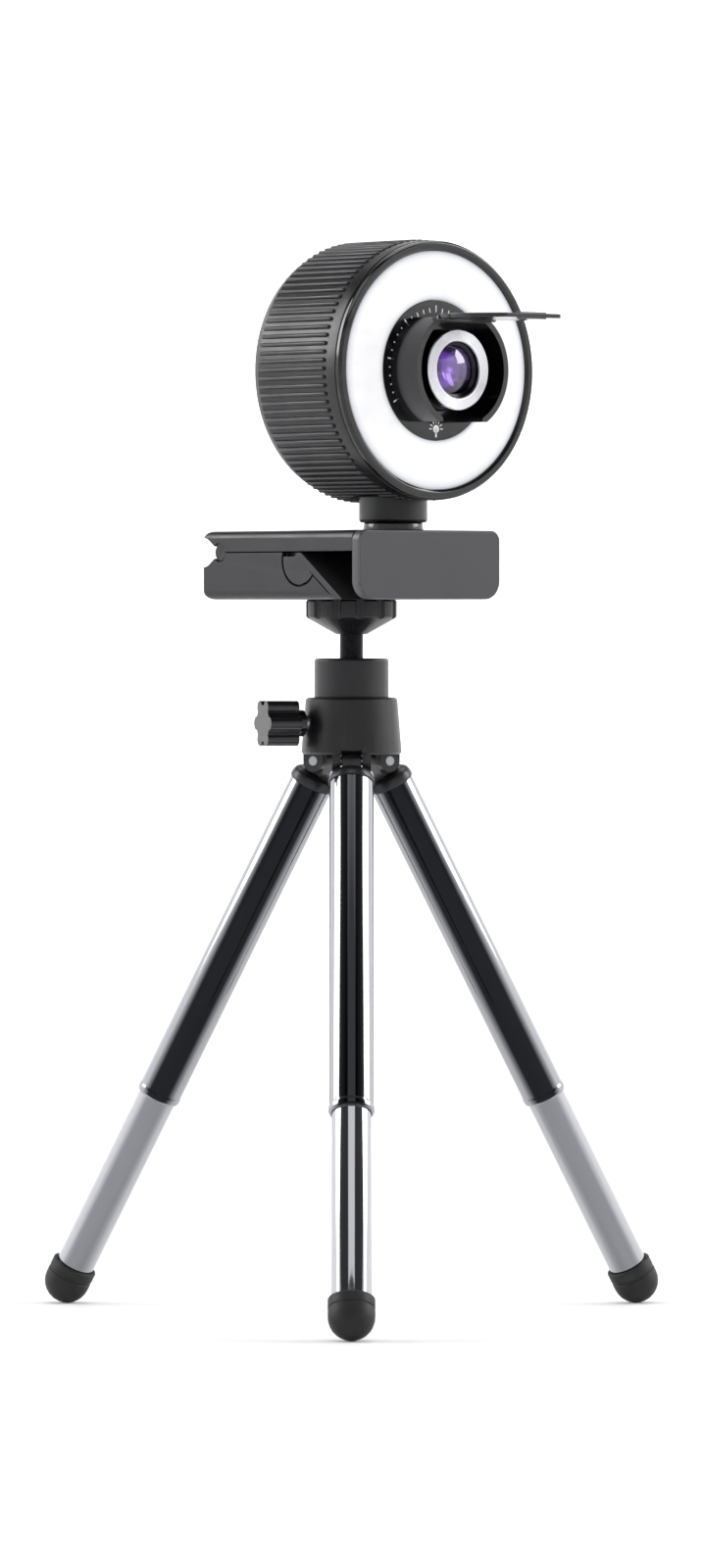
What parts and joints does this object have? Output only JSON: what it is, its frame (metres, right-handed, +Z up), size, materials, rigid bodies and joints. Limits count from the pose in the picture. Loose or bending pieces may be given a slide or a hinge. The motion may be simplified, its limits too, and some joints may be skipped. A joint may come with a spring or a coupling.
{
  "type": "webcam on tripod",
  "caption": "Ring-light webcam with a ribbed drum body, privacy flap and folding monitor clip, on a chrome telescopic mini tripod with a ball head.",
  "frame": {"origin": "on the tabletop under the tripod's axis", "axes": "+Z up, the camera looks along -Y at rest, +X to the camera's left"},
  "size_m": [0.1596, 0.1652, 0.2885],
  "materials": {
    "black_abs": "satin",
    "gloss_black": "gloss",
    "grey_front": "satin",
    "diffuser_white": "satin",
    "chrome": "polished",
    "black_chrome": "polished",
    "turned_aluminium": "turned",
    "steel": "brushed",
    "brass": "machined",
    "black_rubber": "matte",
    "coated_glass": "polished",
    "circuit_board": "satin",
    "led_white": "satin",
    "sensor_dark": "gloss"
  },
  "bodies": {
    "tripod_hub": {"hub": "black_abs", "collar": "black_abs", "leg_pins": "steel"},
    "knob": {"lock_knob": "gloss_black", "lock_screw": "steel"},
    "seat": {"ball_seat": "black_abs"},
    "ball_head": {"ball_stem": "steel", "platform": "black_abs", "clip_leg_shell": "black_abs", "clip_leg_cover": "black_abs", "tripod_insert": "brass", "hinge_pin": "steel", "flap_pin": "steel"},
    "flap": {"foot_flap": "black_abs"},
    "clip_lid": {"clip_top_shell": "black_abs", "front_plate": "grey_front", "underplate": "black_abs", "grip_pad": "black_rubber"},
    "neck": {"neck_collar": "gloss_black", "neck_post": "black_abs", "neck_washer": "steel", "neck_screw": "steel"},
    "head": {"ribbed_shell": "black_abs", "front_bezel": "gloss_black", "light_diffuser": "diffuser_white", "centre_panel": "gloss_black", "led_board": "circuit_board", "leds": "led_white", "microphones": "turned_aluminium", "lens_barrel": "black_chrome", "front_lens": "coated_glass", "lens_holder": "black_abs", "image_sensor": "sensor_dark", "main_board": "circuit_board", "rear_cover": "black_abs", "rear_screws": "steel", "cable_grommet": "black_rubber", "tilt_bracket": "steel", "tilt_pin": "steel", "shutter_frame": "gloss_black", "shutter_pin": "steel"},
    "focus": {"focus_ring": "black_chrome", "lens_trim": "turned_aluminium"},
    "shutter": {"shutter_flap": "gloss_black"},
    "leg_a": {"leg_head_a": "black_abs", "upper_tube_a": "chrome"},
    "leg_a_lower": {"lower_tube_a": "chrome", "slide_bush_a": "black_abs", "foot_a": "black_rubber"},
    "leg_b": {"leg_head_b": "black_abs", "upper_tube_b": "chrome"},
    "leg_b_lower": {"lower_tube_b": "chrome", "slide_bush_b": "black_abs", "foot_b": "black_rubber"},
    "leg_c": {"leg_head_c": "black_abs", "upper_tube_c": "chrome"},
    "leg_c_lower": {"lower_tube_c": "chrome", "slide_bush_c": "black_abs", "foot_c": "black_rubber"}
  },
  "joints": [
    {"name": "ball_pan", "type": "hinge", "parent": "tripod_hub", "child": "seat", "pos_m": [0, 0, 0.167], "axis": [0, 0, 1], "continuous": true},
    {"name": "ball_tilt", "type": "hinge", "parent": "seat", "child": "ball_head", "pos_m": [0, 0, 0.167], "axis": [1, 0, 0], "range_deg": [-22, 22]},
    {"name": "knob_turn", "type": "hinge", "parent": "tripod_hub", "child": "knob", "pos_m": [0, 0, 0.1594], "axis": [-0.9397, 0.342, 0], "continuous": true},
    {"name": "clip_open", "type": "hinge", "parent": "ball_head", "child": "clip_lid", "pos_m": [0, 0.0255, 0.20525], "axis": [-1, 0, 0], "range_deg": [0, 60]},
    {"name": "flap_swing", "type": "hinge", "parent": "ball_head", "child": "flap", "pos_m": [0, -0.00741, 0.203], "axis": [-1, 0, 0], "range_deg": [0, 36]},
    {"name": "neck_pan", "type": "hinge", "parent": "clip_lid", "child": "neck", "pos_m": [0, -0.017, 0.211], "axis": [0, 0, 1], "continuous": true},
    {"name": "head_tilt", "type": "hinge", "parent": "neck", "child": "head", "pos_m": [0, -0.017, 0.227], "axis": [1, 0, 0], "range_deg": [-15, 15]},
    {"name": "focus_turn", "type": "hinge", "parent": "head", "child": "focus", "pos_m": [0, -0.017, 0.2535], "axis": [0, -1, 0], "range_deg": [0, 120]},
    {"name": "shutter_close", "type": "hinge", "parent": "head", "child": "shutter", "pos_m": [0, -0.0463, 0.2671], "axis": [1, 0, 0], "range_deg": [0, 90]},
    {"name": "leg_fold_a", "type": "hinge", "parent": "tripod_hub", "child": "leg_a", "pos_m": [-0.0059, -0.00679, 0.1492], "axis": [0.7547, -0.6561, 0], "range_deg": [0, 28]},
    {"name": "leg_slide_a", "type": "slide", "parent": "leg_a", "child": "leg_a_lower", "axis": [0.3231, 0.3716, 0.8704], "range_m": [0, 0.052]},
    {"name": "leg_fold_b", "type": "hinge", "parent": "tripod_hub", "child": "leg_b", "pos_m": [0.00884, -0.00172, 0.1492], "axis": [0.1908, 0.9816, 0], "range_deg": [0, 28]},
    {"name": "leg_slide_b", "type": "slide", "parent": "leg_b", "child": "leg_b_lower", "axis": [-0.4834, 0.094, 0.8704], "range_m": [0, 0.052]},
    {"name": "leg_fold_c", "type": "hinge", "parent": "tripod_hub", "child": "leg_c", "pos_m": [-0.00293, 0.00851, 0.1492], "axis": [-0.9455, -0.3256, 0], "range_deg": [0, 28]},
    {"name": "leg_slide_c", "type": "slide", "parent": "leg_c", "child": "leg_c_lower", "axis": [0.1603, -0.4656, 0.8704], "range_m": [0, 0.052]}
  ]
}
